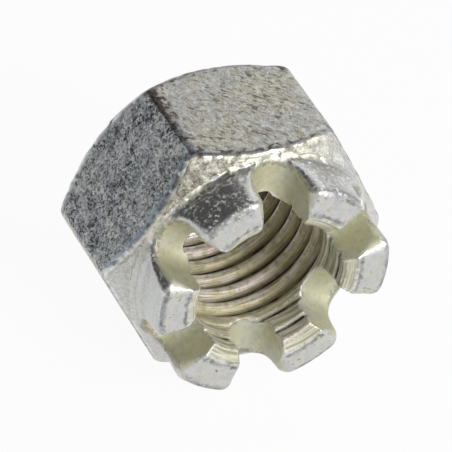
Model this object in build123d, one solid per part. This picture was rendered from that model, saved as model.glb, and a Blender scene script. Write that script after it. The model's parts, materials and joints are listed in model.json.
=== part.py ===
from build123d import *
import math
import os

# Castle nut for a coarse metric thread: one forged, slotted and tapped piece.
# It is shaped upright, with the bearing face on the XY plane, the thread axis on Z and the slotted
# crown on top, two corners of the hexagon on the X axis and a slot over the middle of each flat.
# It is then laid down as it rests on a bench: on one flat, with the crown facing the front (-Y)
# and the origin on the bench below the middle of the nut.
# Lengths are in millimetres and angles in degrees.

# Hexagon
across_flats = 30.0
corner_radius = 1.4  # upright edges, rounded by the forging die

# Heights above the bearing face
overall_height = 22.0
crown_root_height = 16.4  # where the crown rises out of the shoulder
slot_floor_height = 16.1  # lowest line of each slot

# Crown
crown_diameter = 27.8
crown_edge_chamfer = 0.8  # outer rim of the end face

# Chamfers on the corners, each measured from the horizontal
shoulder_angle = 36.0
bearing_angle = 40.0
bearing_diameter = 29.1  # ring that seats on the washer

# Slots for the cotter pin
slots = 6
slot_width = 5.2  # twice the radius of the round floor
slot_flare = 1.5  # lean of each wall away from upright

# Right-handed thread, cut as a V groove in the bore that the tap starts from
thread_diameter = 20.0  # across the bottom of the groove
thread_pitch = 2.5
thread_angle = 60.0  # between the groove's flanks
crown_countersink_diameter = 20.4
bearing_countersink_diameter = 21.2
countersink_angle = 120.0  # full angle of both cones

overrun = 1.0  # how far a cutter passes the surface that it leaves by
groove_overrun = 0.3  # the same for the groove's cutter inside the bore

crown_radius = crown_diameter / 2
bore_radius = (thread_diameter - thread_pitch) / 2
corner_reach = across_flats / 2 / math.cos(math.pi / 6) + overrun


def slope(angle):
    """Rise for each unit of run, for an angle given in degrees."""
    return math.tan(math.radians(angle))


def hexagon_bar():
    """Bar stock of the nut's full height, with its upright edges rounded."""
    outline = RegularPolygon(across_flats / 2, 6, major_radius=False)
    bar = extrude(outline, overall_height)
    return fillet(bar.edges().filter_by(Axis.Z), corner_radius)


def turned_form():
    """Solid of revolution that gives both chamfers, the shoulder and the crown."""
    bearing_radius = bearing_diameter / 2
    bearing_rise = (corner_reach - bearing_radius) * slope(bearing_angle)
    shoulder_drop = (corner_reach - crown_radius) * slope(shoulder_angle)
    half_section = Polyline(
        (0, 0, 0),
        (bearing_radius, 0, 0),
        (corner_reach, 0, bearing_rise),
        (corner_reach, 0, crown_root_height - shoulder_drop),
        (crown_radius, 0, crown_root_height),
        (crown_radius, 0, overall_height - crown_edge_chamfer),
        (crown_radius - crown_edge_chamfer, 0, overall_height),
        (0, 0, overall_height),
        close=True,
    )
    return revolve(make_face(half_section), Axis.Z)


def bore():
    """Tapping hole with a cone at each end, as one cutter."""
    cone_slope = slope(90 - countersink_angle / 2)
    low_radius = bearing_countersink_diameter / 2
    high_radius = crown_countersink_diameter / 2
    half_section = Polyline(
        (0, 0, -overrun),
        (low_radius + overrun / cone_slope, 0, -overrun),
        (bore_radius, 0, (low_radius - bore_radius) * cone_slope),
        (bore_radius, 0, overall_height - (high_radius - bore_radius) * cone_slope),
        (high_radius + overrun / cone_slope, 0, overall_height + overrun),
        (0, 0, overall_height + overrun),
        close=True,
    )
    return revolve(make_face(half_section), Axis.Z)


def slot_cutter():
    """Round-bottomed cutter with flared sides, running outwards from the axis along X."""
    radius = slot_width / 2
    centre = slot_floor_height + radius
    lean = math.radians(slot_flare)
    side = radius * math.cos(lean)
    side_height = centre - radius * math.sin(lean)
    top = overall_height + overrun
    mouth = side + (top - side_height) * slope(slot_flare)
    floor = ThreePointArc((0, -side, side_height), (0, 0, slot_floor_height), (0, side, side_height))
    walls = Polyline((0, side, side_height), (0, mouth, top), (0, -mouth, top), (0, -side, side_height))
    section = make_face(floor + walls)
    return extrude(section, corner_reach, dir=(1, 0, 0))


def slot_angles():
    """Directions of the slots, one over the middle of each flat."""
    return [360 / slots * (number + 0.5) for number in range(slots)]


def groove_turn():
    """Cutter for one right-handed turn of the thread's groove, starting on the XY plane."""
    root_radius = thread_diameter / 2
    inner_radius = bore_radius - groove_overrun
    half_width = (root_radius - inner_radius) * slope(thread_angle / 2)
    section = Polyline(
        (root_radius, 0, 0), (inner_radius, 0, half_width), (inner_radius, 0, -half_width), close=True
    )
    return sweep(make_face(section), Helix(thread_pitch, thread_pitch, root_radius), is_frenet=True)


def tapped(nut):
    """The bored nut with its thread cut turn by turn, from before the bearing face to past the crown."""
    turn = groove_turn()
    for number in range(-1, math.ceil(overall_height / thread_pitch)):
        nut = nut - Pos(0, 0, number * thread_pitch) * turn
    return nut


def castle_nut():
    """The upright nut: hexagon and turned form, bored, tapped and slotted."""
    nut = tapped(hexagon_bar() & turned_form() - bore())
    for angle in slot_angles():
        nut = nut - Rot(0, 0, angle) * slot_cutter()
    return nut.solid()


def laid_down(nut):
    """The upright nut turned onto a flat, crown to the front, and set on the bench."""
    return Pos(0, overall_height / 2, across_flats / 2) * Rot(90, 0, 0) * nut


os.makedirs("parts", exist_ok=True)
export_step(laid_down(castle_nut()), "parts/castle_nut.step")
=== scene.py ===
import itertools
import json
import math

import bpy
import numpy as np
from bpy.props import FloatProperty, FloatVectorProperty, IntProperty, PointerProperty
from mathutils import Matrix, Vector


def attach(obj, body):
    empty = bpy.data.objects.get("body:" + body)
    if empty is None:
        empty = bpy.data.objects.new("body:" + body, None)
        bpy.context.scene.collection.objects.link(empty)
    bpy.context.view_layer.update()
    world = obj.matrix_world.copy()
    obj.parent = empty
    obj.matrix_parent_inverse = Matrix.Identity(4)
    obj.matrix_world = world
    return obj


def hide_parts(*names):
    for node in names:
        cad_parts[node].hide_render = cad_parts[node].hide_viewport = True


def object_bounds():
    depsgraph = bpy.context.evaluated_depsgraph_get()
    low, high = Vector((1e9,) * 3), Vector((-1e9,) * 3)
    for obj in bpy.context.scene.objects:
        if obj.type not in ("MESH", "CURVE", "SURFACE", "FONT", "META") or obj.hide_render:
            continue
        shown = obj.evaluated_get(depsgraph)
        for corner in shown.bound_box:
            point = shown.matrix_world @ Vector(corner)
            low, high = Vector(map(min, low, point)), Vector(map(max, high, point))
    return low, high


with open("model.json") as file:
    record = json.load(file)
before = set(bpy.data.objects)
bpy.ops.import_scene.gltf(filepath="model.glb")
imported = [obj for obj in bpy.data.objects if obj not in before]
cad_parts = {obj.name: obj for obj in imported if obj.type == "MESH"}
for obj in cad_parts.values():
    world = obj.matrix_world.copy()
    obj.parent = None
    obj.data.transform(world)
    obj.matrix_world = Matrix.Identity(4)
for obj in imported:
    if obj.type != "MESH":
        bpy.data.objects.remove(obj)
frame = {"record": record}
CAD_LOW, CAD_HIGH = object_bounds()

bl_info = {
    "name": "Castle nut",
    "version": (1, 0, 0),
    "blender": (4, 5, 0),
    "location": "3D View > Sidebar > Castle nut",
    "description": "A zinc-plated forged castle nut with a cut thread, on a pale studio floor",
    "category": "Object",
}

# The nut lies on one flat with its crown towards -Y. Its own coordinates are (side, up, out):
# side and up are measured from the thread axis, and out from the bearing face to the crown.
AXIS_HEIGHT = (CAD_LOW.z + CAD_HIGH.z) / 2
BEARING_Y = CAD_HIGH.y
NUT_HEIGHT = CAD_HIGH.y - CAD_LOW.y
ACROSS_FLATS = CAD_HIGH.z - CAD_LOW.z
SHARP_CORNER = ACROSS_FLATS / 2 / math.cos(math.pi / 6)
CORNER_RADIUS = (SHARP_CORNER - CAD_HIGH.x) / (1 / math.cos(math.pi / 6) - 1)
MOUNTS = {mount["name"]: mount for mount in frame["record"]["mounts"]}
BORE_RADIUS = MOUNTS["thread"]["dims"]["r_mm"] / 1000
SLOT_ANGLES = [30, 90, 150, 210, 270, 330]
PROUD_CASTELLATIONS = [0, 240]  # the two that stand out beyond the crown
# Tone of each flat: on the two seen flats it is painted light on the pale one on top and painted shade on the
# dark grainy one at 150 degrees.
FLAT_TONE_AND_LIGHT = [0.6, 0.9, 0.0, 0.7, 0.3, 0.8]  # of the flats over each slot, in the slots' order
FINISH_COLOURS = [
    "zinc",
    "cool_zinc",
    "cream_zinc",
    "lilac_zinc",
    "scale_zinc",
    "blue_zinc",
    "rim_shade_and_smudge",
    "edge_shade",
    "slot_shade",
    "burnish_and_highlight",
    "slot_zinc",
    "thread_zinc",
    "thread_blush",
    "grain_shade",
    "pit",
    "grime_and_crease_shade",
]
MARKS = [
    "flat",
    "shoulder",
    "crown",
    "end",
    "slot",
    "thread",
    "edge",
    "brink",
    "dent",
    "groove",
    "mouth",
    "tone_and_light",
    "rib",
    "scaly",
]
SOOTY_EDGE = 120  # direction of the hexagon's edge that holds soot, in degrees
SCALY_CORNER = 110  # direction in which the shoulder keeps most of its scale
FLANK_COS = math.cos(math.pi / 6)  # the thread's flanks and the cones lean 30 degrees
LEAST_STEEPNESS = 0.05  # of the field, below which a point's step onto the surface isn't made longer
EVENING = 0.6  # share of the way to its neighbours' middle that a point slides in each round
ZONE_BLEND = 0.00012  # width over which one surface's finish gives way to the next
BRINK_WIDTH = 0.0005  # how far the finish by an edge reaches into each surface
RIB_CORE, RIB_WIDTH = 0.0002, 0.0009  # full and fading width of the soot beside its edge
FLOOR_HALF = 1.5
FLOOR_GLOW = 0.94  # share of plain white in the floor that the camera sees, the rest takes the shadow


class NutShape(bpy.types.PropertyGroup):
    """Sizes of the nut that the frame's box and mounts don't give."""

    crown_radius: FloatProperty(
        name="Crown radius", description="Outside radius of the slotted crown", default=0.0139, unit="LENGTH"
    )
    crown_root: FloatProperty(
        name="Crown root",
        description="Distance from bearing face to crown root",
        default=0.0164,
        unit="LENGTH",
    )
    crown_rim: FloatProperty(
        name="Crown rim", description="Rounding of the rim of the end face", default=0.001, unit="LENGTH"
    )
    root_radius: FloatProperty(
        name="Root radius", description="Blend between shoulder and crown", default=0.0005, unit="LENGTH"
    )
    shoulder_angle: FloatProperty(
        name="Shoulder angle", description="Slope of the shoulder", default=math.radians(36), unit="ROTATION"
    )
    bearing_angle: FloatProperty(
        name="Bearing angle",
        description="Slope of the rear chamfer",
        default=math.radians(40),
        unit="ROTATION",
    )
    bearing_radius: FloatProperty(
        name="Bearing radius",
        description="Outside radius of the bearing face",
        default=0.01455,
        unit="LENGTH",
    )
    forged_edge: FloatProperty(
        name="Forged edge",
        description="Rounding where the chamfers meet the flats",
        default=0.0004,
        unit="LENGTH",
    )
    slot_floor: FloatProperty(
        name="Slot floor",
        description="Distance from bearing face to slot floor",
        default=0.0161,
        unit="LENGTH",
    )
    slot_width: FloatProperty(
        name="Slot width", description="Width of each slot at its floor", default=0.0052, unit="LENGTH"
    )
    slot_flare: FloatProperty(
        name="Slot flare", description="Lean of each slot wall", default=math.radians(1.5), unit="ROTATION"
    )
    slot_edge: FloatProperty(
        name="Slot edge",
        description="Rounding of the slots' edges by the bore",
        default=0.00012,
        unit="LENGTH",
    )
    slot_corner: FloatProperty(
        name="Slot corner",
        description="Rounding of the slots' edges by the rim",
        default=0.0019,
        unit="LENGTH",
    )
    crown_swell: FloatProperty(
        name="Crown swell", description="How far two castellations stand out", default=0.0005, unit="LENGTH"
    )


class ThreadShape(bpy.types.PropertyGroup):
    """Sizes of the right-hand internal thread."""

    pitch: FloatProperty(name="Pitch", description="Advance of one turn", default=0.0025, unit="LENGTH")
    major_radius: FloatProperty(
        name="Major radius", description="Radius at the bottom of the groove", default=0.01, unit="LENGTH"
    )
    root_flat: FloatProperty(
        name="Root flat", description="Width of the groove's bottom", default=0.0003, unit="LENGTH"
    )
    crest_edge: FloatProperty(
        name="Crest edge", description="Rounding of the crest's two edges", default=0.00048, unit="LENGTH"
    )
    crown_loss: FloatProperty(
        name="Crown loss",
        description="Depth that the groove loses in the crown",
        default=0.0009,
        unit="LENGTH",
    )
    start: FloatProperty(
        name="Start",
        description="Distance of the first groove from the bearing face",
        default=0.0,
        unit="LENGTH",
    )
    crown_mouth: FloatProperty(
        name="Crown mouth", description="Countersink radius in the end face", default=0.0102, unit="LENGTH"
    )
    bearing_mouth: FloatProperty(
        name="Bearing mouth",
        description="Countersink radius in the bearing face",
        default=0.0106,
        unit="LENGTH",
    )


class ForgedRelief(bpy.types.PropertyGroup):
    """How deep the forged surfaces dip below their true form."""

    swell: FloatProperty(
        name="Waves", description="Depth of the broad waves in the flats", default=0.00008, unit="LENGTH"
    )
    dimple: FloatProperty(
        name="Dimples", description="Depth of the small dimples in the flats", default=0.00009, unit="LENGTH"
    )
    flake: FloatProperty(
        name="Flakes", description="Depth of the ragged scale on the shoulder", default=0.0003, unit="LENGTH"
    )
    chip: FloatProperty(
        name="Chips", description="Depth of the chips along the edges", default=0.00025, unit="LENGTH"
    )
    handling: FloatProperty(
        name="Handling",
        description="Depth of the marks on the machined faces",
        default=0.00004,
        unit="LENGTH",
    )


class MeshDetail(bpy.types.PropertyGroup):
    """How finely the nut's surface is divided."""

    step: FloatProperty(
        name="Step",
        description="Size of the surface's cells",
        default=0.00026,
        unit="LENGTH",
    )
    rounds: IntProperty(name="Rounds", description="Times that the surface is evened out", default=4)


class PlateFinish(bpy.types.PropertyGroup):
    """Colours of the zinc plate, its tints and the dirt in it."""

    zinc: FloatVectorProperty(
        name="Zinc", description="Bright plate", default=(0.58, 0.585, 0.56), subtype="COLOR", min=0, max=1
    )
    cool_zinc: FloatVectorProperty(
        name="Cool zinc",
        description="Bluish plate",
        default=(0.48, 0.51, 0.52),
        subtype="COLOR",
        min=0,
        max=1,
    )
    cream_zinc: FloatVectorProperty(
        name="Cream zinc",
        description="Cream plate",
        default=(0.64, 0.62, 0.52),
        subtype="COLOR",
        min=0,
        max=1,
    )
    lilac_zinc: FloatVectorProperty(
        name="Lilac zinc", description="Lilac plate", default=(0.6, 0.59, 0.59), subtype="COLOR", min=0, max=1
    )
    slot_zinc: FloatVectorProperty(
        name="Slot zinc",
        description="Yellow passivate",
        default=(0.58, 0.57, 0.4),
        subtype="COLOR",
        min=0,
        max=1,
    )
    blue_zinc: FloatVectorProperty(
        name="Blue zinc",
        description="Plate by forged edges",
        default=(0.38, 0.47, 0.57),
        subtype="COLOR",
        min=0,
        max=1,
    )
    # Painted shade with grey smears, on cut faces by their edges.
    rim_shade_and_smudge: FloatVectorProperty(
        name="Rim shade and smudge",
        description="Dull grey by cut edges",
        default=(0.2, 0.21, 0.22),
        subtype="COLOR",
        min=0,
        max=1,
    )
    edge_shade: FloatVectorProperty(
        name="Edge shade",
        description="Blue grey on forged edges",
        default=(0.16, 0.19, 0.23),
        subtype="COLOR",
        min=0,
        max=1,
    )
    scale_zinc: FloatVectorProperty(
        name="Scale zinc",
        description="Plate over forging scale",
        default=(0.4, 0.38, 0.33),
        subtype="COLOR",
        min=0,
        max=1,
    )
    # Dark olive passivate, also used as painted shade deep in the thread's grooves.
    slot_shade: FloatVectorProperty(
        name="Slot shade",
        description="Passivate deep in grooves",
        default=(0.3, 0.29, 0.15),
        subtype="COLOR",
        min=0,
        max=1,
    )
    # Painted highlight, partly real burnish: near-white for worn edges and for painted glints on grain,
    # specks and flecks.
    burnish_and_highlight: FloatVectorProperty(
        name="Burnish and highlight",
        description="Rubbed edges and glints",
        default=(0.86, 0.86, 0.83),
        subtype="COLOR",
        min=0,
        max=1,
    )
    thread_zinc: FloatVectorProperty(
        name="Thread zinc",
        description="Plate in the bore",
        default=(0.54, 0.48, 0.3),
        subtype="COLOR",
        min=0,
        max=1,
    )
    thread_blush: FloatVectorProperty(
        name="Thread blush",
        description="Pink on the crests",
        default=(0.79, 0.68, 0.61),
        subtype="COLOR",
        min=0,
        max=1,
    )
    # Painted shade, partly grain: near-black cells that stand in for the dark that the grain reflects.
    grain_shade: FloatVectorProperty(
        name="Grain shade",
        description="Dark cells of the grain",
        default=(0.045, 0.06, 0.09),
        subtype="COLOR",
        min=0,
        max=1,
    )
    pit: FloatVectorProperty(
        name="Pit",
        description="Dull bottoms of the pits",
        default=(0.16, 0.13, 0.1),
        subtype="COLOR",
        min=0,
        max=1,
    )
    # Dirt, soot and painted shade: dark brown for stains on edges and for the darkening of concave creases.
    grime_and_crease_shade: FloatVectorProperty(
        name="Grime and crease shade",
        description="Dirt in hollows and on edges",
        default=(0.065, 0.04, 0.024),
        subtype="COLOR",
        min=0,
        max=1,
    )
    grain: FloatProperty(name="Grain", description="Size of the forged grain", default=0.0003, unit="LENGTH")


def nut_space(points):
    """Side, up and out of points given in the frame's own axes."""
    return points[:, 0], points[:, 2] - AXIS_HEIGHT, BEARING_Y - points[:, 1]


def scattered(cells, seed):
    """A fixed random value from -1 to 1 for each lattice cell."""
    mixed = (cells[:, 0] * 73856093) ^ (cells[:, 1] * 19349663) ^ (cells[:, 2] * 83492791) ^ (seed * 40503)
    mixed = ((mixed ^ (mixed >> 13)) * 1274126177) & 0xFFFFFFFF
    mixed = mixed ^ (mixed >> 16)
    return (mixed & 0xFFFF) / 32767.5 - 1


def ripple(points, size, seed):
    """Smooth random heights from -1 to 1 that change over about one size."""
    place = points / size + 1000
    cell = np.floor(place).astype(np.int64)
    part = place - cell
    part = part * part * (3 - 2 * part)
    total = np.zeros(len(points))
    for corner in itertools.product((0, 1), repeat=3):
        weight = np.prod(np.where(corner, part, 1 - part), axis=1)
        total += weight * scattered(cell + corner, seed)
    return total


def rounded_cut(one, other, radius):
    """Common part of two solids, given by their distances, with a rounded edge."""
    near = np.hypot(np.maximum(one + radius, 0), np.maximum(other + radius, 0))
    return np.minimum(-radius, np.maximum(one, other)) + near


def rounded_join(one, other, radius):
    """Both of two solids together, with a fillet where they meet."""
    return -rounded_cut(-one, -other, radius)


def hexagon(side, up):
    """Distance outside a hexagon bar with rounded corners, and the number of the nearest flat."""
    angle = np.degrees(np.arctan2(up, side))
    flat = np.round((angle - SLOT_ANGLES[0]) / 60)
    turn = np.radians(angle - SLOT_ANGLES[0] - 60 * flat)
    radius = np.hypot(side, up)
    inset = ACROSS_FLATS / 2 - CORNER_RADIUS
    beyond = radius * np.cos(turn) - inset
    past_corner = np.abs(radius * np.sin(turn)) - inset * math.tan(math.pi / 6)
    distance = np.where(past_corner > 0, np.hypot(beyond, past_corner), beyond)
    return distance - CORNER_RADIUS, flat % 6


def tone_and_light_of_flats(side, up):
    """How cream the plate on the nearest flat is, from 0 to 1, fixed for each of the six; on the two seen
    flats it also holds painted light and painted shade.
    """
    return np.array(FLAT_TONE_AND_LIGHT)[hexagon(side, up)[1].astype(int)]


def scaliness(side, up):
    """How much forging scale is left on the shoulder, from 0 to 1, most by one corner."""
    away = np.abs((np.degrees(np.arctan2(up, side)) - SCALY_CORNER + 180) % 360 - 180)
    return 1 - eased(away, 30, 70)


def slot(side, up, out, angle, shape):
    """Distance outside one round-bottomed slot that runs out from the axis at an angle."""
    direction = math.radians(angle)
    along = side * math.cos(direction) + up * math.sin(direction)
    across = np.abs(up * math.cos(direction) - side * math.sin(direction))
    radius = shape.slot_width / 2
    above = out - shape.slot_floor - radius
    lean = shape.slot_flare
    on_wall = above * math.cos(lean) + across * math.sin(lean) > 0
    wall = across * math.cos(lean) - above * math.sin(lean) - radius
    floor = np.hypot(across, above) - radius
    return np.maximum(np.where(on_wall, wall, floor), -along)


def eased(value, low, high):
    """Smooth rise from 0 at low to 1 at high."""
    part = np.clip((value - low) / (high - low), 0, 1)
    return part * part * (3 - 2 * part)


def groove_root(out, shape, thread):
    """Share of the crown's shallower groove at each height, and the radius of the groove's root."""
    in_crown = eased(out, shape.slot_floor - thread.pitch / 4, shape.slot_floor + thread.pitch / 2)
    return in_crown, thread.major_radius - thread.crown_loss * in_crown


def threaded_hole(side, up, out, shape, thread):
    """Distance outside the hole, with its helical groove and a cone at each mouth."""
    radius = np.hypot(side, up)
    turns = np.arctan2(up, side) / (2 * math.pi)
    place = (out - thread.start) / thread.pitch - turns
    from_groove = np.abs(place - np.round(place)) * thread.pitch
    in_crown, root = groove_root(out, shape, thread)
    flank = (from_groove - thread.root_flat / 2) * FLANK_COS - (root - radius) / 2
    groove = rounded_cut(flank, radius - root, thread.root_flat / 2)
    hole = rounded_join(groove, radius - BORE_RADIUS, thread.crest_edge * (1 - 0.85 * in_crown))
    low_cone = (radius - thread.bearing_mouth) / 2 + out * FLANK_COS
    high_cone = (radius - thread.crown_mouth) / 2 + (NUT_HEIGHT - out) * FLANK_COS
    return np.minimum(hole, np.minimum(low_cone, high_cone))


def crown_reach(side, up, out, shape):
    """Radius of the crown, which grows towards the rim of the castellations that stand out."""
    reach = np.full(len(side), shape.crown_radius)
    angle = np.degrees(np.arctan2(up, side))
    for proud in PROUD_CASTELLATIONS:
        away = np.abs((angle - proud + 180) % 360 - 180)
        height = eased(out, shape.crown_root, NUT_HEIGHT - shape.crown_rim)
        reach += shape.crown_swell * height * (1 - eased(away, 18, 26))
    return reach


def plain_surfaces(points, shape, thread):
    """Distance outside each surface that bounds the nut, by the surface's name."""
    side, up, out = nut_space(points)
    radius = np.hypot(side, up)
    slope = shape.shoulder_angle
    shoulder = (radius - shape.crown_radius) * math.sin(slope) + (out - shape.crown_root) * math.cos(slope)
    slope = shape.bearing_angle
    rear = (radius - shape.bearing_radius) * math.sin(slope) - out * math.cos(slope)
    slots = np.min([slot(side, up, out, angle, shape) for angle in SLOT_ANGLES], axis=0)
    return {
        "flat": hexagon(side, up)[0],
        "shoulder": shoulder,
        "rear": rear,
        "crown": radius - crown_reach(side, up, out, shape),
        "end": out - NUT_HEIGHT,
        "bearing": -out,
        "slot": -slots,
        "thread": -threaded_hole(side, up, out, shape, thread),
    }


def true_form(points, shape, thread):
    """Distance outside the nut as drawn, negative in the metal."""
    near = plain_surfaces(points, shape, thread)
    side, up, out = nut_space(points)
    body = rounded_cut(near["flat"], near["shoulder"], shape.forged_edge)
    body = rounded_cut(body, near["rear"], shape.forged_edge)
    crown = rounded_cut(near["crown"], near["end"], shape.crown_rim)
    body = rounded_join(body, crown, shape.root_radius * (2.1 - 1.6 * scaliness(side, up)))
    body = rounded_cut(body, near["bearing"], shape.forged_edge / 4)
    outside = eased(np.hypot(side, up), BORE_RADIUS + shape.crown_rim, shape.crown_radius)
    outside = outside * (1 + 2 * eased(out, shape.crown_root, NUT_HEIGHT - shape.crown_rim)) / 3
    slot_edge = shape.slot_edge + (shape.slot_corner - shape.slot_edge) * outside
    body = rounded_cut(body, near["slot"], slot_edge)
    return rounded_cut(body, near["thread"], shape.slot_edge)


def relief(points, shape, thread, forged):
    """Depth of the forging marks, scale and chips below the true form at each point."""
    near = plain_surfaces(points, shape, thread)
    flat, shoulder, rear = (np.exp(-((near[name] / 0.0004) ** 2)) for name in ("flat", "shoulder", "rear"))
    outside = np.clip(near["crown"] / 0.0003 + 1, 0, 1)
    rough = np.maximum(np.maximum(flat, shoulder), rear) * outside
    edge = np.minimum(flat, np.maximum(shoulder, rear)) * outside
    by_crown = np.exp(-((near["crown"] / 0.0008) ** 2))
    side, up, out = nut_space(points)
    coarse = 1.8 - 1.2 * tone_and_light_of_flats(side, up)
    waves = (1 + ripple(points, 0.0035, 1)) / 2
    dimples = eased(ripple(points, 0.0009, 2) + 0.5 * ripple(points, 0.0005, 3), 0.15, 0.9)
    flakes = eased(ripple(points, 0.0011, 4) + 0.6 * ripple(points, 0.0006, 5), -0.3, 0.6)
    chips = eased(ripple(points, 0.0016, 6) + 0.5 * ripple(points, 0.0007, 7), 0.0, 0.7)
    marks = eased(ripple(points, 0.0012, 8), 0.2, 0.9)
    scale_left = 0.1 + 0.9 * scaliness(side, up)
    return (
        rough * (forged.swell * waves + forged.dimple * coarse * dimples * (1 - shoulder))
        + shoulder * outside * forged.flake * flakes * (0.35 + 0.65 * by_crown) * scale_left
        + edge * forged.chip * chips
        + (1 - rough) * forged.handling * marks
    )


def worn_form(points, shape, thread, forged):
    """Distance outside the nut with its forged relief, which is worked out only near the surface."""
    body = true_form(points, shape, thread)
    near = np.flatnonzero(np.abs(body) < 0.001)
    body[near] += relief(points[near], shape, thread, forged)
    return body


def in_one_piece(corners):
    """True when the given corners of a cube all hang together along its edges."""
    reached = set(list(corners)[:1])
    for _ in range(7):
        reached |= {one for one in corners for other in reached if math.dist(one, other) == 1}
    return len(reached) == len(corners)


def untangled(values):
    """Grid values with a corner filled wherever two sheets of the surface would share one cell."""
    corners = list(itertools.product((0, 1), repeat=3))
    plain = []
    for code in range(256):
        inside = [corner for number, corner in enumerate(corners) if code >> number & 1]
        outside = [corner for corner in corners if corner not in inside]
        plain.append(in_one_piece(inside) and in_one_piece(outside))
    for _ in range(12):
        codes = np.zeros(np.array(values.shape) - 1, int)
        for number, (i, j, k) in enumerate(corners):
            inside = values[i : i + codes.shape[0], j : j + codes.shape[1], k : k + codes.shape[2]] < 0
            codes |= inside.astype(int) << number
        for i, j, k in np.argwhere(~np.array(plain)[codes]):
            cell = values[i : i + 2, j : j + 2, k : k + 2]
            if (cell >= 0).any():
                least = np.unravel_index(np.where(cell < 0, np.inf, cell).argmin(), cell.shape)
                cell[least] = -abs(cell[least]) - 1e-9
    return values


def net_over(field, low, high, step):
    """Corners and four-sided faces of the surface where a field is zero, one corner to a grid cell."""
    counts = np.ceil((high - low) / step).astype(int) + 1
    axes = [low[axis] + step * np.arange(counts[axis]) for axis in range(3)]
    grid = np.stack(np.meshgrid(*axes, indexing="ij"), -1).reshape(-1, 3)
    values = untangled(field(grid).reshape(counts))
    cells = counts - 1
    total = np.zeros((np.prod(cells), 3))
    hits = np.zeros(np.prod(cells))
    rings = []
    unit = np.eye(3, dtype=int)
    for axis in range(3):
        one, two = unit[(axis + 1) % 3], unit[(axis + 2) % 3]
        start = [slice(None)] * 3
        end = [slice(None)] * 3
        start[axis], end[axis] = slice(None, -1), slice(1, None)
        edges = np.argwhere((values[tuple(start)] < 0) != (values[tuple(end)] < 0))
        before = values[tuple(edges.T)]
        after = values[tuple((edges + unit[axis]).T)]
        crossing = low + step * (edges + unit[axis] * (before / (before - after))[:, None])
        ring = []
        for shift in (0 * one, one, one + two, two):
            cell = np.ravel_multi_index((edges - shift).T, cells)
            for column in range(3):
                total[:, column] += np.bincount(cell, crossing[:, column], len(total))
            hits += np.bincount(cell, minlength=len(hits))
            ring.append(cell)
        ring = np.stack(ring, 1)
        rings.append(np.where((before < 0)[:, None], ring, ring[:, ::-1]))
    rings = np.concatenate(rings)
    used = np.flatnonzero(hits)
    number = np.zeros(len(hits), int)
    number[used] = np.arange(len(used))
    return total[used] / hits[used, None], number[rings]


def field_slope(field, points, reach):
    """Gradient of a field at each point."""
    parts = []
    for axis in range(3):
        offset = np.zeros(3)
        offset[axis] = reach
        parts.append((field(points + offset) - field(points - offset)) / (2 * reach))
    return np.stack(parts, 1)


def neighbour_mean(values, faces):
    """Mean of each corner's neighbours along the faces' edges."""
    start = faces.ravel()
    end = np.roll(faces, -1, axis=1).ravel()
    count = np.bincount(start, minlength=len(values)) + np.bincount(end, minlength=len(values))
    columns = []
    for column in values.T:
        columns.append(
            np.bincount(start, column[end], len(values)) + np.bincount(end, column[start], len(values))
        )
    return np.stack(columns, 1) / count[:, None]


def settled(points, faces, plain, worn, reach, rounds):
    """Points spread evenly over the worn surface and pulled onto it, with its normals."""
    for turn in range(rounds + 2):
        slope = field_slope(plain, points, reach)
        steepness = np.maximum((slope * slope).sum(1, keepdims=True), LEAST_STEEPNESS)
        points = points - worn(points)[:, None] * slope / steepness
        if turn < rounds:
            normal = slope / np.sqrt(steepness)
            drift = neighbour_mean(points, faces) - points
            points = points + EVENING * (drift - (drift * normal).sum(1, keepdims=True) * normal)
    slope = field_slope(worn, points, reach)
    return points, slope / np.linalg.norm(slope, axis=1, keepdims=True)


def zones_at(points, shape, thread):
    """Share of each surface in each point, from 0 to 1, by the surface's name."""
    near = plain_surfaces(points, shape, thread)
    near["slot"] = np.minimum(near["slot"], 0.0)
    shares = {name: np.exp(-((distance / ZONE_BLEND) ** 2)) + 1e-9 for name, distance in near.items()}
    out = nut_space(points)[2]
    shares["crown"] *= out > shape.crown_root - shape.root_radius
    shares["shoulder"] *= near["crown"] > -0.0002
    total = sum(shares.values())
    return {name: share / total for name, share in shares.items()}


def brink_at(points, shape, thread):
    """How close each point is to the edge of the surface that it lies on, from 0 to 1."""
    near = plain_surfaces(points, shape, thread)
    near["shoulder"] = np.where(near["crown"] > -0.0003, near["shoulder"], 1.0)
    out = nut_space(points)[2]
    near["crown"] = np.where(out > shape.crown_root - shape.root_radius, near["crown"] * 0.4, 1.0)
    distances = np.sort(np.abs(list(near.values())), axis=0)
    return np.exp(-((distances[1] / BRINK_WIDTH) ** 2))


def rib_at(side, up):
    """How close each point is to the long edge of the hexagon that holds soot, from 0 to 1."""
    turn = np.arctan2(up, side) - math.radians(SOOTY_EDGE)
    from_edge = np.abs(np.hypot(side, up) * np.sin(turn))
    return np.exp(-((np.maximum(from_edge - RIB_CORE, 0) / RIB_WIDTH) ** 2)) * (np.cos(turn) > 0)


def edge_at(points, field, reach):
    """How sharply the surface bends at each point: positive on edges, negative in hollows."""
    total = np.zeros(len(points))
    ways = [way for way in itertools.product((-1, 0, 1), repeat=3) if sum(map(abs, way)) in (1, 3)]
    for way in ways:
        total += field(points + np.array(way) * reach / math.hypot(*way))
    return (total / len(ways) - field(points)) / reach


def mesh_of(name, points, faces, normals, marks):
    """Closed smooth mesh from corners, four-sided faces, corner normals and named values."""
    mesh = bpy.data.meshes.new(name)
    mesh.from_pydata(points.tolist(), [], faces.tolist())
    mesh.polygons.foreach_set("use_smooth", [True] * len(mesh.polygons))
    for mark, values in marks.items():
        layer = mesh.attributes.new(mark, "FLOAT", "POINT")
        layer.data.foreach_set("value", values.astype(np.float32))
    mesh.normals_split_custom_set_from_vertices(normals.tolist())
    return mesh


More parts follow.
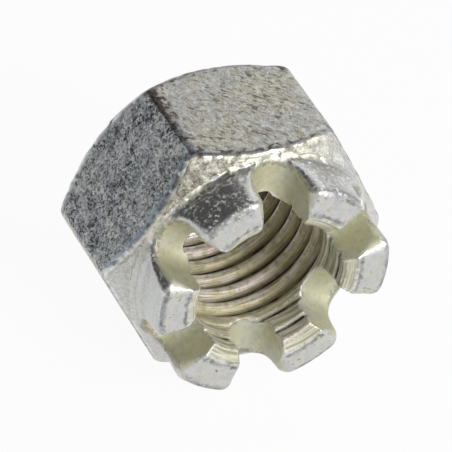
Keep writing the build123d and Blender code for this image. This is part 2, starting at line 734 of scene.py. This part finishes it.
def put(tree, kind, values=None, **settings):
    """Add a node, change its settings, and give its sockets values or links."""
    node = tree.nodes.new(kind)
    for name, value in settings.items():
        setattr(node, name, value)
    for name, value in (values or {}).items():
        if isinstance(value, bpy.types.NodeSocket):
            tree.links.new(value, node.inputs[name])
        else:
            node.inputs[name].default_value = value
    return node


def calc(tree, operation, *values):
    """Output of a math node."""
    return put(tree, "ShaderNodeMath", dict(enumerate(values)), operation=operation).outputs[0]


def rise(tree, value, low, high):
    """Smooth rise from 0 to 1 while a value goes from low to high."""
    values = {"Value": value, "From Min": low, "From Max": high}
    return put(tree, "ShaderNodeMapRange", values, interpolation_type="SMOOTHSTEP").outputs["Result"]


def blend(tree, share, one, two):
    """Colour that goes from one to two as the share rises."""
    node = put(tree, "ShaderNodeMix", {0: share, 6: one, 7: two}, data_type="RGBA")
    return node.outputs[2]


def grade(tree, share, one, two):
    """Value that goes from one to two as the share rises."""
    return put(tree, "ShaderNodeMix", {0: share, 2: one, 3: two}, data_type="FLOAT").outputs[0]


def noise(tree, place, size, detail=2.0, roughness=0.5):
    """Cloudy value between 0 and 1 with lumps of a given size."""
    values = {"Vector": place, "Scale": 1 / size, "Detail": detail, "Roughness": roughness}
    return put(tree, "ShaderNodeTexNoise", values).outputs[0]


def mark(tree, name):
    """Named value stored in the mesh."""
    return put(tree, "ShaderNodeAttribute", attribute_name=name).outputs["Fac"]


def new_group(name, inputs, outputs):
    """Empty node group with named sockets, and its inlet and outlet."""
    group = bpy.data.node_groups.new(name, "ShaderNodeTree")
    for socket, kind in inputs.items():
        group.interface.new_socket(socket, in_out="INPUT", socket_type="NodeSocket" + kind)
    for socket, kind in outputs.items():
        group.interface.new_socket(socket, in_out="OUTPUT", socket_type="NodeSocket" + kind)
    return group, group.nodes.new("NodeGroupInput").outputs, group.nodes.new("NodeGroupOutput").inputs


def forged_grain(grain):
    """Group: crystalline grain of forged steel under plate, with dark cells that are painted shade, pale
    glints and streaks that are painted highlights, and long pits.
    """
    outputs = dict.fromkeys(("Height", "Cell", "Glint and streak", "Fleck", "Pit"), "Float")
    tree, inlet, outlet = new_group("forged_grain", {"Place": "Vector"}, outputs)
    place = inlet["Place"]
    bent = put(tree, "ShaderNodeTexNoise", {"Vector": place, "Scale": 0.6 / grain, "Detail": 2.0})
    shift = put(
        tree, "ShaderNodeVectorMath", {0: bent.outputs["Color"], "Scale": 1.8 * grain}, operation="SCALE"
    ).outputs[0]
    warped = put(tree, "ShaderNodeVectorMath", {0: place, 1: shift}, operation="ADD").outputs[0]
    lumps = noise(tree, warped, grain * 1.3, 4.0, 0.7)
    crowd = grade(tree, noise(tree, place, grain * 5, 2.0), -0.17, 0.17)
    cell = calc(tree, "SUBTRACT", 1.0, rise(tree, calc(tree, "ADD", lumps, crowd), 0.49, 0.54))
    drift = calc(tree, "MULTIPLY", crowd, 0.5)
    bead = rise(tree, calc(tree, "ADD", noise(tree, warped, grain, 3.0, 0.7), drift), 0.55, 0.61)
    off_wire = calc(tree, "ABSOLUTE", calc(tree, "SUBTRACT", noise(tree, warped, grain * 2.4, 2.0, 0.6), 0.5))
    wire = calc(tree, "SUBTRACT", 1.0, rise(tree, off_wire, 0.006, 0.042))
    bead = calc(tree, "MAXIMUM", calc(tree, "MULTIPLY", bead, 0.5), wire)
    off_vein = calc(tree, "ABSOLUTE", calc(tree, "SUBTRACT", noise(tree, warped, grain * 9, 3.0, 0.6), 0.5))
    streak = calc(tree, "SUBTRACT", 1.0, rise(tree, off_vein, 0.003, 0.028))
    glint_and_streak = calc(tree, "MAXIMUM", calc(tree, "MULTIPLY", bead, 0.8), streak)
    drawn = put(
        tree,
        "ShaderNodeMapping",
        {"Vector": place, "Rotation": (0, 0, -0.83), "Scale": (2.4, 1, 1)},
        vector_type="TEXTURE",
    ).outputs[0]
    fleck = rise(tree, noise(tree, drawn, grain * 0.85, 2.0, 0.6), 0.53, 0.62)
    hole = rise(tree, noise(tree, drawn, grain * 2.0, 3.0, 0.6), 0.57, 0.61)
    tree.links.new(lumps, outlet["Height"])
    tree.links.new(cell, outlet["Cell"])
    tree.links.new(glint_and_streak, outlet["Glint and streak"])
    tree.links.new(fleck, outlet["Fleck"])
    tree.links.new(hole, outlet["Pit"])
    return tree


def tap_lines(pitch):
    """Group: fine lines that the tap leaves, running round with the thread."""
    outputs = dict.fromkeys(("Height", "Shade", "Scratch"), "Float")
    tree, inlet, outlet = new_group("tap_lines", {"Place": "Vector"}, outputs)
    parts = put(tree, "ShaderNodeSeparateXYZ", {0: inlet["Place"]}).outputs
    up = calc(tree, "SUBTRACT", parts[2], AXIS_HEIGHT)
    turn = calc(tree, "ARCTAN2", up, parts[0])
    climb = calc(tree, "MULTIPLY", turn, pitch / (2 * math.pi))
    along = calc(tree, "ADD", parts[1], climb)
    square = calc(tree, "ADD", calc(tree, "POWER", up, 2.0), calc(tree, "POWER", parts[0], 2.0))
    radius = calc(tree, "SQRT", square)
    swept = put(
        tree,
        "ShaderNodeCombineXYZ",
        {0: along, 1: radius, 2: calc(tree, "MULTIPLY", turn, BORE_RADIUS / 24)},
    ).outputs[0]
    fine = noise(tree, swept, 0.00016, 1.0)
    broad = noise(tree, swept, 0.0004, 1.0)
    tree.links.new(calc(tree, "ADD", fine, broad), outlet["Height"])
    tree.links.new(calc(tree, "SUBTRACT", 1.0, rise(tree, fine, 0.4, 0.47)), outlet["Scratch"])
    tree.links.new(broad, outlet["Shade"])
    return tree


def edge_wear():
    """Group: where edges are worn and take a painted highlight, where creases darken as dirt and painted
    shade, where soot has caught, and where faces darken to their edges.
    """
    inputs = {"Place": "Vector", "Edge": "Float", "Brink": "Float", "Rib": "Float"}
    outputs = {"Bright": "Float", "Grime and crease shade": "Float", "Rim": "Float", "Soot": "Float"}
    tree, inlet, outlet = new_group("edge_wear", inputs, outputs)
    lumps = noise(tree, inlet["Place"], 0.0007, 3.0, 0.6)
    crumbs = noise(tree, inlet["Place"], 0.00035, 2.0, 0.6)
    patches = noise(tree, inlet["Place"], 0.003, 2.0)
    ragged = calc(tree, "ADD", crumbs, lumps)
    broken = calc(tree, "MULTIPLY", inlet["Edge"], calc(tree, "ADD", lumps, 0.5))
    tree.links.new(rise(tree, broken, 0.06, 0.14), outlet["Bright"])
    # Painted shade, partly dirt: concave creases darken in patches.
    hollow = rise(tree, calc(tree, "MULTIPLY", broken, -1.0), 0.08, 0.2)
    tree.links.new(calc(tree, "MULTIPLY", hollow, rise(tree, patches, 0.35, 0.55)), outlet["Grime and crease shade"])
    rim = rise(tree, calc(tree, "MULTIPLY", inlet["Brink"], ragged), 0.7, 0.95)
    tree.links.new(rim, outlet["Rim"])
    rearward = put(tree, "ShaderNodeSeparateXYZ", {0: inlet["Place"]}).outputs[1]
    caught = calc(tree, "MULTIPLY", inlet["Rib"], grade(tree, rise(tree, rearward, -0.004, 0.008), 0.3, 1.15))
    clumps = calc(tree, "MULTIPLY", calc(tree, "POWER", ragged, 2.5), calc(tree, "ADD", patches, 0.55))
    soot = rise(tree, calc(tree, "MULTIPLY", caught, clumps), 0.5, 0.8)
    tree.links.new(soot, outlet["Soot"])
    return tree


def plated_steel(finish, pitch):
    """Zinc plate over forged and cut steel, told apart by the values stored in the mesh."""
    material = bpy.data.materials.new("plated_steel")
    material.use_nodes = True
    tree = material.node_tree
    bsdf = tree.nodes["Principled BSDF"]
    place = put(tree, "ShaderNodeTexCoord").outputs["Object"]
    colours = {name: (*getattr(finish, name), 1) for name in FINISH_COLOURS}
    marks = {name: mark(tree, name) for name in MARKS}
    grain = put(tree, "ShaderNodeGroup", node_tree=forged_grain(finish.grain))
    lines = put(tree, "ShaderNodeGroup", node_tree=tap_lines(pitch))
    wear = put(tree, "ShaderNodeGroup", node_tree=edge_wear())
    for group in (grain, lines, wear):
        tree.links.new(place, group.inputs["Place"])
    tree.links.new(marks["edge"], wear.inputs["Edge"])
    tree.links.new(marks["brink"], wear.inputs["Brink"])
    tree.links.new(marks["rib"], wear.inputs["Rib"])
    clouds = noise(tree, place, 0.004, 3.0)
    specks = noise(tree, place, 0.0004, 3.0, 0.6)
    lumps = noise(tree, place, 0.0007, 3.0, 0.6)
    blots = noise(tree, place, 0.0011, 3.0, 0.6)
    patches = rise(tree, clouds, 0.38, 0.62)
    tone_and_light = marks["tone_and_light"]

    def times(*values):
        total = values[0]
        for value in values[1:]:
            total = calc(tree, "MULTIPLY", total, value)
        return total

    cell, glint_and_streak, fleck, pit = (grain.outputs[name] for name in ("Cell", "Glint and streak", "Fleck", "Pit"))
    scratch, rim = lines.outputs["Scratch"], wear.outputs["Rim"]
    worked = calc(tree, "SUBTRACT", 1.0, times(rise(tree, marks["brink"], 0.02, 0.5), 0.9))
    sparse = grade(tree, rise(tree, noise(tree, place, 0.005, 2.0), 0.42, 0.58), 0.72, 0.98)
    thick = grade(tree, rise(tree, noise(tree, place, 0.0025, 2.0), 0.42, 0.58), 0.2, 1.0)
    verge = times(marks["brink"], calc(tree, "ADD", lumps, 0.5))
    frontward = put(tree, "ShaderNodeSeparateXYZ", {0: place}).outputs[1]
    border = times(rise(tree, verge, 0.02, 0.4), rise(tree, frontward, 0.004, -0.002))
    # Painted shade: the grain's dark cells darken about half of the cool flats.
    cool = blend(tree, times(cell, sparse, worked), colours["cool_zinc"], colours["grain_shade"])
    # Painted glints: the grain's pale glints and streaks turn the cool flats near-white.
    cool = blend(tree, times(glint_and_streak, 0.95, worked), cool, colours["burnish_and_highlight"])
    tinted = times(border, grade(tree, rise(tree, blots, 0.4, 0.6), 0.5, 0.9))
    cool = blend(tree, tinted, cool, colours["blue_zinc"])
    warm = blend(tree, patches, colours["zinc"], colours["cream_zinc"])
    warm = blend(tree, times(rise(tree, blots, 0.46, 0.6), 0.4), warm, colours["thread_zinc"])
    warm = blend(tree, times(fleck, grade(tree, patches, 0.45, 0.8)), warm, colours["pit"])
    warm = blend(tree, times(pit, thick, 0.9), warm, colours["pit"])
    both = times(calc(tree, "ADD", marks["brink"], marks["rib"]), calc(tree, "ADD", lumps, 0.5))
    # Painted glints: light flecks on the warm flats.
    warm = blend(tree, times(rise(tree, lumps, 0.52, 0.62), 0.55), warm, colours["burnish_and_highlight"])
    warm = blend(tree, times(rise(tree, both, 0.25, 0.6), 0.35), warm, colours["pit"])
    warm = blend(tree, times(rise(tree, both, 0.45, 0.9), 0.85), warm, colours["edge_shade"])
    caked = times(rise(tree, both, 0.06, 0.25), rise(tree, blots, 0.51, 0.58), 0.9)
    warm = blend(tree, caked, warm, colours["grime_and_crease_shade"])
    warm = blend(tree, times(wear.outputs["Soot"], 0.95), warm, colours["grime_and_crease_shade"])
    # Painted light and shade with each flat's tone: a flat takes the dark grainy or the pale cream finish.
    forged = blend(tree, tone_and_light, cool, warm)
    forged = blend(tree, times(rise(tree, marks["dent"], 0.45, 0.9), 0.8), forged, colours["pit"])

    plain_scale = blend(tree, times(specks, 1.4), colours["burnish_and_highlight"], colours["zinc"])
    scale = blend(tree, rise(tree, blots, 0.42, 0.6), colours["scale_zinc"], colours["cream_zinc"])
    scale = blend(tree, times(rise(tree, specks, 0.53, 0.63), 0.65), scale, colours["pit"])
    scale = blend(tree, grade(tree, marks["scaly"], 0.05, 1.0), plain_scale, scale)
    # Painted highlight with scale: ragged cream along the shoulder's edges where scale is left.
    flake_highlight = times(rise(tree, times(verge, calc(tree, "ADD", specks, 0.5)), 0.55, 0.9), marks["scaly"])
    scale = blend(tree, flake_highlight, scale, colours["cream_zinc"])

    cut = blend(tree, patches, colours["zinc"], colours["lilac_zinc"])
    cut = blend(tree, times(rise(tree, lumps, 0.44, 0.6), 0.55), cut, colours["cool_zinc"])
    cut = blend(tree, times(rise(tree, blots, 0.45, 0.6), 0.6), cut, colours["cream_zinc"])
    pitted = times(rise(tree, specks, 0.56, 0.68), rise(tree, blots, 0.5, 0.6), 0.8)
    cut = blend(tree, pitted, cut, colours["pit"])
    # Painted shade with grey smears: cut faces darken in ragged bands towards their edges.
    rim_shade_and_smudge = times(marks["brink"], calc(tree, "ADD", lumps, specks))
    rim_shaded = times(rise(tree, rim_shade_and_smudge, 0.47, 0.85), grade(tree, rise(tree, blots, 0.4, 0.6), 0.3, 0.9))
    cut = blend(tree, rim_shaded, cut, colours["rim_shade_and_smudge"])
    cut = blend(tree, times(marks["crown"], 0.3), cut, colours["cool_zinc"])
    glint = times(rise(tree, specks, 0.52, 0.6), marks["crown"], rise(tree, blots, 0.4, 0.55))
    cut = blend(tree, glint, cut, colours["burnish_and_highlight"])

    blush = rise(tree, noise(tree, place, 0.006, 2.0), 0.45, 0.6)
    bore = blend(tree, blush, colours["thread_zinc"], colours["thread_blush"])
    bore = blend(tree, times(marks["mouth"], 0.9), bore, colours["cream_zinc"])
    deep = grade(tree, marks["mouth"], 0.45, 0.0)
    stained = times(rise(tree, blots, 0.5, 0.62), grade(tree, marks["mouth"], 0.5, 0.1))
    bore = blend(tree, stained, bore, colours["slot_shade"])
    bore = blend(tree, times(rise(tree, lines.outputs["Shade"], 0.5, 0.38), deep), bore, colours["pit"])
    bore = blend(tree, times(scratch, grade(tree, marks["mouth"], 0.6, 0.5)), bore, colours["slot_shade"])
    lined = times(rise(tree, lines.outputs["Shade"], 0.5, 0.43), marks["mouth"], 0.8)
    bore = blend(tree, lined, bore, colours["slot_shade"])
    # Painted shade, partly the passivate's tint: the thread's grooves darken towards their root.
    bore = blend(tree, times(rise(tree, marks["groove"], 0.5, 1.0), 0.6), bore, colours["slot_shade"])

    slots = blend(tree, times(rise(tree, clouds, 0.45, 0.65), 0.5), colours["slot_zinc"], colours["zinc"])
    slots = blend(tree, times(rise(tree, blots, 0.56, 0.66), 0.25), slots, colours["thread_blush"])
    slots = blend(tree, times(rise(tree, lumps, 0.48, 0.62), 0.2), slots, colours["slot_shade"])
    slots = blend(tree, times(rim, 0.5), slots, colours["pit"])

    colour = blend(tree, marks["shoulder"], blend(tree, marks["flat"], cut, forged), scale)
    colour = blend(tree, marks["slot"], colour, slots)
    colour = blend(tree, marks["thread"], colour, bore)
    # Painted shade, partly dirt: concave creases take the dark brown.
    colour = blend(tree, wear.outputs["Grime and crease shade"], colour, colours["grime_and_crease_shade"])
    # Painted highlight along the worn convex edges, on top of their real burnish.
    rubbed_highlight = times(wear.outputs["Bright"], rise(tree, lumps, 0.42, 0.55), 0.5)
    rubbed_highlight = times(rubbed_highlight, calc(tree, "SUBTRACT", 1.0, times(tone_and_light, marks["flat"])))
    colour = blend(tree, rubbed_highlight, colour, colours["burnish_and_highlight"])
    tree.links.new(colour, bsdf.inputs["Base Color"])
    film = times(marks["thread"], grade(tree, marks["mouth"], 0.75, 0.9))
    film = calc(tree, "ADD", film, times(marks["slot"], 0.4))
    film = calc(tree, "ADD", film, times(glint, 0.8))
    # The painted glints are made less metallic, so that they stay pale.
    glint_film = times(marks["flat"], glint_and_streak, calc(tree, "SUBTRACT", 1.0, tone_and_light), worked, 0.6)
    film = calc(tree, "ADD", film, glint_film)
    tree.links.new(calc(tree, "SUBTRACT", 1.0, film), bsdf.inputs["Metallic"])

    rough = calc(tree, "ADD", marks["flat"], marks["shoulder"])
    smooth = grade(tree, marks["crown"], grade(tree, marks["mouth"], 0.5, 0.58), 0.3)
    roughness = grade(tree, marks["shoulder"], grade(tree, marks["flat"], smooth, 0.36), 0.55)
    roughness = calc(tree, "MULTIPLY_ADD", calc(tree, "SUBTRACT", specks, 0.5), 0.25, roughness)
    roughness = grade(tree, wear.outputs["Bright"], roughness, 0.28)
    tree.links.new(roughness, bsdf.inputs["Roughness"])

    coarse = times(grain.outputs["Height"], rough, worked, grade(tree, tone_and_light, 1.0, 0.4))
    bump = put(tree, "ShaderNodeBump", {"Height": coarse, "Distance": 0.00026, "Strength": 1.0}).outputs[0]
    turned = times(calc(tree, "ADD", marks["crown"], marks["end"]), 0.15)
    lined = times(lines.outputs["Height"], calc(tree, "ADD", marks["thread"], turned))
    bump = put(
        tree, "ShaderNodeBump", {"Height": lined, "Distance": 0.00006, "Strength": 1.0, "Normal": bump}
    ).outputs[0]
    fine = grade(tree, marks["slot"], specks, calc(tree, "MULTIPLY_ADD", lumps, 0.8, times(specks, 0.2)))
    bump = put(
        tree, "ShaderNodeBump", {"Height": fine, "Distance": 0.00005, "Strength": 1.0, "Normal": bump}
    ).outputs[0]
    tree.links.new(bump, bsdf.inputs["Normal"])
    return material


class NUT_OT_add_castle_nut(bpy.types.Operator):
    """Add the castle nut, with its thread, in place of the plain solid"""

    bl_idname = "nut.add_castle_nut"
    bl_label = "Castle nut"

    def execute(self, context):
        scene = context.scene
        shape, thread, detail = scene.nut_shape, scene.nut_thread, scene.nut_mesh

        def plain(points):
            return true_form(points, shape, thread)

        def worn(points):
            return worn_form(points, shape, thread, scene.nut_relief)

        step = detail.step
        low = np.array(CAD_LOW) - 2 * step
        high = np.array(CAD_HIGH) + 2 * step
        points, faces = net_over(worn, low, high, step)
        points, normals = settled(points, faces, plain, worn, step / 8, detail.rounds)
        marks = zones_at(points, shape, thread)
        marks["edge"] = edge_at(points, plain, 0.0004)
        marks["dent"] = -plain(points) / 0.0003
        side, up, out = nut_space(points)
        marks["tone_and_light"] = tone_and_light_of_flats(side, up)
        marks["brink"] = brink_at(points, shape, thread)
        marks["rib"] = rib_at(side, up)
        marks["scaly"] = scaliness(side, up)
        marks["mouth"] = eased(out, shape.slot_floor - thread.pitch / 4, shape.slot_floor + thread.pitch / 2)
        radius, root = np.hypot(side, up), groove_root(out, shape, thread)[1]
        marks["groove"] = eased(radius, BORE_RADIUS, root) * (radius < root + detail.step / 2)
        used = {name: marks[name] for name in MARKS}
        mesh = mesh_of("castle_nut_plated", points, faces, normals, used)
        mesh.materials.append(plated_steel(scene.nut_finish, thread.pitch))
        nut = bpy.data.objects.new("castle_nut_plated", mesh)
        context.collection.objects.link(nut)
        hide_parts("castle_nut")
        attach(nut, "root")
        return {"FINISHED"}


class NUT_OT_add_stage(bpy.types.Operator):
    """Add the pale floor, the soft lamps and the camera"""

    bl_idname = "nut.add_stage"
    bl_label = "Studio"

    def execute(self, context):
        scene = context.scene
        add_floor(context)
        add_world(context)
        add_lights(context)
        add_camera(context)
        scene.view_settings.view_transform = "Standard"
        return {"FINISHED"}


def add_floor(context):
    mesh = bpy.data.meshes.new("floor")
    half = FLOOR_HALF
    corners = [(-half, -half, 0), (half, -half, 0), (half, half, 0), (-half, half, 0)]
    mesh.from_pydata(corners, [], [(0, 1, 2, 3)])
    floor = bpy.data.objects.new("floor", mesh)
    context.collection.objects.link(floor)
    material = bpy.data.materials.new("floor_paint")
    material.use_nodes = True
    tree = material.node_tree
    tree.nodes.clear()
    paint = put(tree, "ShaderNodeBsdfDiffuse", {"Color": (0.85, 0.85, 0.85, 1)}).outputs[0]
    glow = put(tree, "ShaderNodeEmission", {"Strength": 1.0}).outputs[0]
    rays = put(tree, "ShaderNodeLightPath").outputs
    mirrored = calc(tree, "MAXIMUM", rays["Is Glossy Ray"], rays["Is Transmission Ray"])
    seen = calc(tree, "MAXIMUM", rays["Is Camera Ray"], mirrored)
    share = calc(tree, "MULTIPLY", seen, FLOOR_GLOW)
    surface = put(tree, "ShaderNodeMixShader", {0: share, 1: paint, 2: glow}).outputs[0]
    put(tree, "ShaderNodeOutputMaterial", {"Surface": surface})
    mesh.materials.append(material)


def add_softbox(context, name, direction, distance, size, brightness, target):
    """Round lamp that faces the target and looks as bright as given, where 1 is white."""
    light = bpy.data.lights.new(name, "AREA")
    light.shape = "DISK"
    light.size = size
    light.energy = brightness * math.pi * size**2
    lamp = bpy.data.objects.new(name, light)
    context.collection.objects.link(lamp)
    lamp.location = target + Vector(direction).normalized() * distance
    lamp.rotation_mode = "QUATERNION"
    lamp.rotation_quaternion = Vector(direction).to_track_quat("Z", "Y")


def add_world(context):
    """Soft pale surroundings with a darker side behind the nut on the left."""
    world = bpy.data.worlds.new("studio")
    context.scene.world = world
    world.use_nodes = True
    tree = world.node_tree
    direction = put(tree, "ShaderNodeTexCoord").outputs["Generated"]
    dark_side = Vector((-0.5, 0.62, 0.6)).normalized()
    facing = put(tree, "ShaderNodeVectorMath", {0: direction, 1: dark_side}, operation="DOT_PRODUCT")
    strength = grade(tree, rise(tree, facing.outputs["Value"], 0.1, 0.85), 0.5, 0.1)
    tree.links.new(strength, tree.nodes["Background"].inputs["Strength"])
    tree.nodes["Background"].inputs["Color"].default_value = (1, 1, 1, 1)


def add_lights(context):
    target = Vector((0, 0, AXIS_HEIGHT))
    add_softbox(context, "key", (0.22, -0.85, 0.5), 0.6, 0.25, 9.5, target)
    add_softbox(context, "top_back", (0.45, 0.62, 0.64), 0.5, 0.5, 0.62, target)
    add_softbox(context, "right", (0.62, -0.66, 0.42), 0.6, 0.25, 4.0, target)


def add_camera(context):
    scene = context.scene
    camera = bpy.data.cameras.new("camera")
    camera.lens = 298.3
    camera.sensor_width = 36
    camera.clip_start = 0.01
    camera.clip_end = 10
    stand = bpy.data.objects.new("camera", camera)
    context.collection.objects.link(stand)
    back = Vector((-0.40188, -0.66954, 0.62467)).normalized()
    above = Vector((0.17616, 0.61291, 0.77027)).normalized()
    right = above.cross(back)
    target = Vector((0, 0.0015263, AXIS_HEIGHT)) - above * 0.0004266
    turn = Matrix((right, above, back)).transposed()
    stand.matrix_world = Matrix.Translation(target + back * 0.41665) @ turn.to_4x4()
    scene.camera = stand


class NUT_PT_panel(bpy.types.Panel):
    """Lists the steps that make the nut and its stage"""

    bl_idname = "NUT_PT_panel"
    bl_label = "Castle nut"
    bl_space_type = "VIEW_3D"
    bl_region_type = "UI"
    bl_category = "Castle nut"

    def draw(self, context):
        self.layout.operator(NUT_OT_add_castle_nut.bl_idname)
        self.layout.operator(NUT_OT_add_stage.bl_idname)


CLASSES = (
    NutShape,
    ThreadShape,
    ForgedRelief,
    MeshDetail,
    PlateFinish,
    NUT_OT_add_castle_nut,
    NUT_OT_add_stage,
    NUT_PT_panel,
)


def register():
    for kind in CLASSES:
        bpy.utils.register_class(kind)
    bpy.types.Scene.nut_shape = PointerProperty(type=NutShape)
    bpy.types.Scene.nut_thread = PointerProperty(type=ThreadShape)
    bpy.types.Scene.nut_relief = PointerProperty(type=ForgedRelief)
    bpy.types.Scene.nut_mesh = PointerProperty(type=MeshDetail)
    bpy.types.Scene.nut_finish = PointerProperty(type=PlateFinish)


def unregister():
    for name in ("nut_shape", "nut_thread", "nut_relief", "nut_mesh", "nut_finish"):
        delattr(bpy.types.Scene, name)
    for kind in reversed(CLASSES):
        bpy.utils.unregister_class(kind)


def main():
    register()
    bpy.ops.nut.add_castle_nut()
    bpy.ops.nut.add_stage()


if __name__ == "__main__":
    main()
